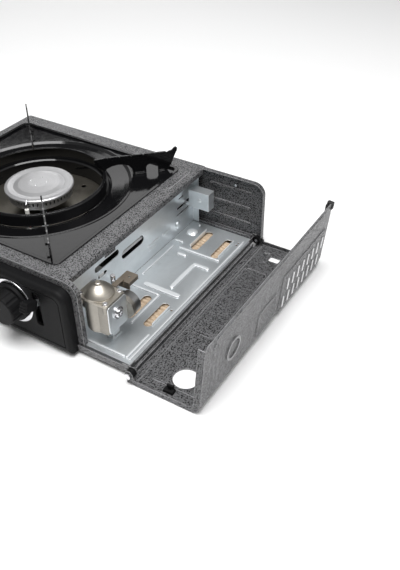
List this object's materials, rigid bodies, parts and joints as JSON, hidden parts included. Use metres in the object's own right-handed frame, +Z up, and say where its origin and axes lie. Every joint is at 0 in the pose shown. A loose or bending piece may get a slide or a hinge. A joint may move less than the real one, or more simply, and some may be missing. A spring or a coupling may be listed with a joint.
{
  "type": "camping stove",
  "caption": "Portable gas camping stove with a square body, enamelled tray, pan support, round burner and a hinged side lid open over its cartridge bay.",
  "frame": {"origin": "bottom centre of the whole stove with its lid open, in the plane of the soles of the feet", "axes": "+X towards the cartridge bay and its lid, +Y to the back, +Z up; the control panel faces -Y"},
  "size_m": [0.456, 0.3006, 0.118],
  "materials": {
    "hammertone_paint": "hammered",
    "galvanised_sheet": "spangled zinc",
    "zinc_screw": "bright",
    "bright_steel": "polished",
    "bright_aluminium": "satin",
    "cast_aluminium": "cast",
    "cast_zinc": "cast",
    "nickel_plate": "satin",
    "shield_steel": "satin",
    "black_enamel": "gloss",
    "black_plastic": "matte",
    "white_plastic": "satin",
    "red_wire": "satin",
    "white_ceramic": "satin",
    "rubber_black": "matte",
    "copper_pipe": "satin",
    "brass_part": "satin",
    "tan_board": "matte"
  },
  "bodies": {
    "chassis": {"base_pan": "hammertone_paint", "body_shell": "hammertone_paint", "front_wall": "hammertone_paint", "rear_wall": "hammertone_paint", "foot_screws": "zinc_screw", "body_screws": "zinc_screw", "rubber_feet": "rubber_black", "partition_wall": "galvanised_sheet", "compartment_floor": "galvanised_sheet", "insulation_board": "tan_board", "front_fascia": "black_plastic", "knob_bezel": "bright_steel", "valve_body": "cast_zinc", "valve_bracket": "galvanised_sheet", "piezo_igniter": "white_plastic", "ignition_wire": "red_wire", "electrode": "white_ceramic", "electrode_tip": "bright_steel", "electrode_clip": "galvanised_sheet", "gas_pipe": "copper_pipe", "injector_nozzle": "brass_part", "mixing_tube": "galvanised_sheet", "burner_head": "cast_aluminium", "burner_cap": "bright_aluminium", "burner_bracket": "galvanised_sheet", "heat_shield": "shield_steel", "regulator_body": "cast_zinc", "regulator_cover": "nickel_plate", "regulator_adjuster": "nickel_plate", "regulator_screws": "zinc_screw", "regulator_side_plate": "galvanised_sheet", "inlet_plug": "bright_steel", "connector_ring": "bright_steel", "connector_seal": "rubber_black", "inlet_pin": "brass_part", "guide_key": "nickel_plate", "key_post": "zinc_screw", "key_spring": "bright_steel", "regulator_foot": "galvanised_sheet", "rod_guides": "white_plastic", "lever_bracket": "galvanised_sheet", "hinge_pins": "bright_steel", "hinge_bushes": "black_plastic"},
    "lid": {"lid_shell": "hammertone_paint", "lid_clip": "black_plastic", "lid_bumper": "rubber_black"},
    "knob": {"control_knob": "black_plastic", "knob_pointer": "white_plastic", "knob_spindle": "bright_steel"},
    "lever": {"lever_arm": "galvanised_sheet", "lever_grip": "black_plastic", "lever_shaft": "bright_steel", "lever_crank": "galvanised_sheet"},
    "pusher": {"pusher_bracket": "galvanised_sheet", "push_rod": "bright_steel"},
    "tray": {"drip_tray": "black_enamel"},
    "pan_support": {"support_ring": "black_enamel", "support_arms": "black_enamel"}
  },
  "joints": [
    {"name": "lid_hinge", "type": "hinge", "parent": "chassis", "child": "lid", "pos_m": [0.13848, 0.00785, 0.0108], "axis": [0, -1, 0], "range_deg": [0, 90]},
    {"name": "knob_turn", "type": "hinge", "parent": "chassis", "child": "knob", "pos_m": [0.00098, -0.13215, 0.05], "axis": [0, -1, 0], "range_deg": [0, 105]},
    {"name": "lever_pivot", "type": "hinge", "parent": "chassis", "child": "lever", "pos_m": [0.03298, -0.10415, 0.05], "axis": [1, 0, 0], "range_deg": [0, 40]},
    {"name": "pusher_slide", "type": "slide", "parent": "chassis", "child": "pusher", "axis": [0, -1, 0], "range_m": [0, 0.0096]},
    {"name": "tray_lift", "type": "slide", "parent": "chassis", "child": "tray", "axis": [0, 0, 1], "range_m": [0, 0.05]},
    {"name": "support_lift", "type": "slide", "parent": "tray", "child": "pan_support", "axis": [0, 0, 1], "range_m": [0, 0.04]}
  ],
  "couplings": [
    {"joint": "pusher_slide", "follows": "lever_pivot", "m_per_rad": 0.0137}
  ]
}
